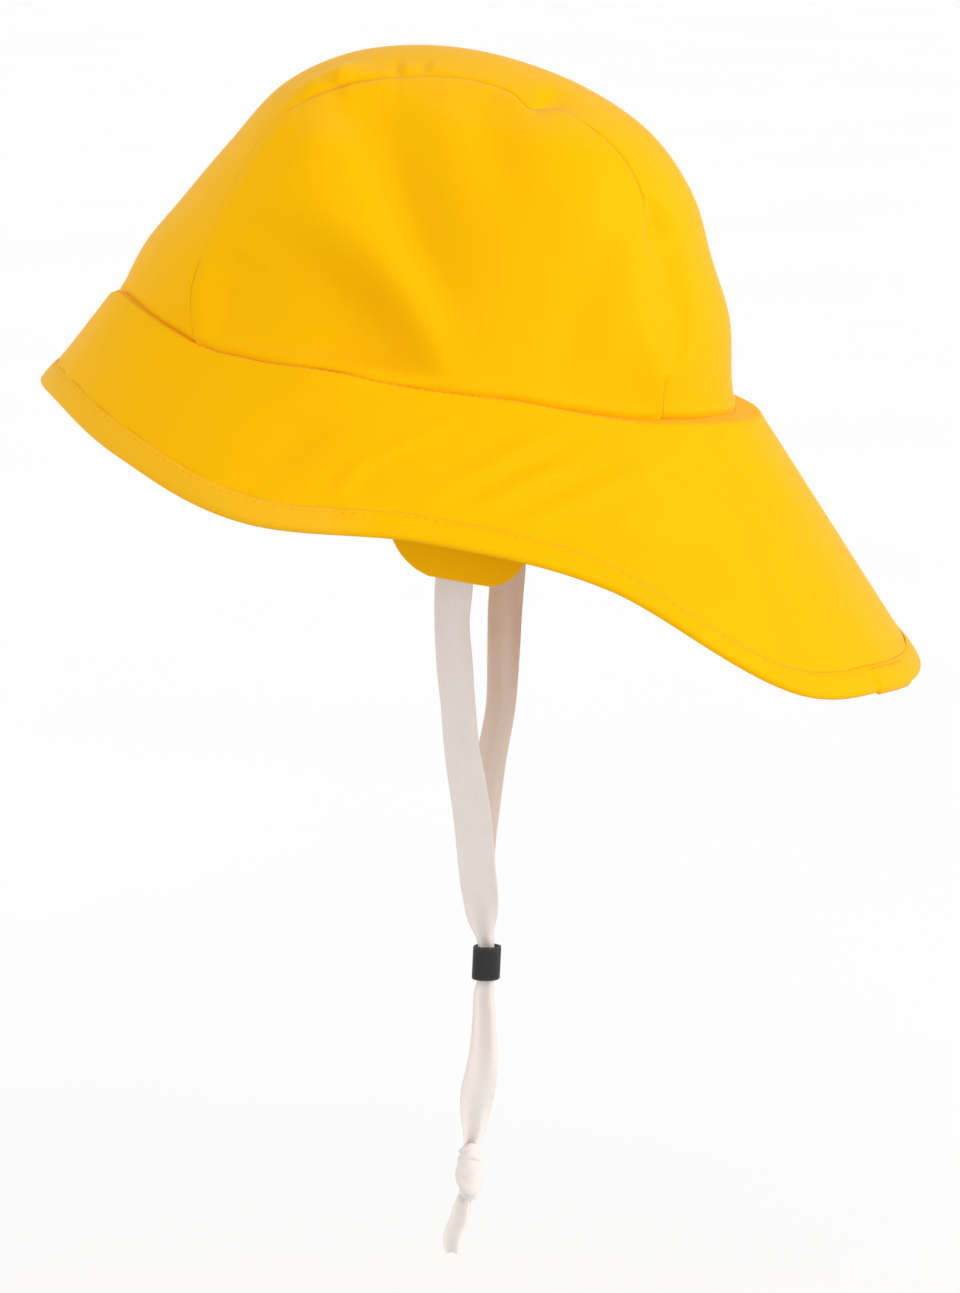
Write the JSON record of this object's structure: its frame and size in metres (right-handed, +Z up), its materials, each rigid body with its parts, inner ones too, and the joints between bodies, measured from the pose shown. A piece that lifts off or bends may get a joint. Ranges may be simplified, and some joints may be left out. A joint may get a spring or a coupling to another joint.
{
  "type": "sou'wester hat",
  "caption": "Waterproof hat with a three-panel crown, a brim that runs out into a long neck flap, ear flaps, and chin tapes hanging through a toggle.",
  "frame": {"origin": "middle of the oval seam between crown and brim, where a head holds the hat", "axes": "+Z up, -Y to the front, +X to the wearer's left; the hat is tipped back by ten degrees, front up, as it sits on a head"},
  "size_m": [0.246, 0.3017, 0.4209],
  "materials": {
    "coated_cloth": "smooth coated cloth, satin",
    "woven_tape": "flat woven tape, matte",
    "toggle_plastic": "moulded plastic, matte"
  },
  "bodies": {
    "root": {"crown_band": "coated_cloth", "crown_side_left": "coated_cloth", "crown_side_right": "coated_cloth", "brim": "coated_cloth", "brim_binding": "coated_cloth", "ear_flap_left": "coated_cloth", "ear_flap_right": "coated_cloth", "chin_tape_left": "woven_tape", "chin_tape_right": "woven_tape", "cord_toggle": "toggle_plastic", "tape_knot": "woven_tape", "tape_end": "woven_tape"}
  },
  "joints": []
}
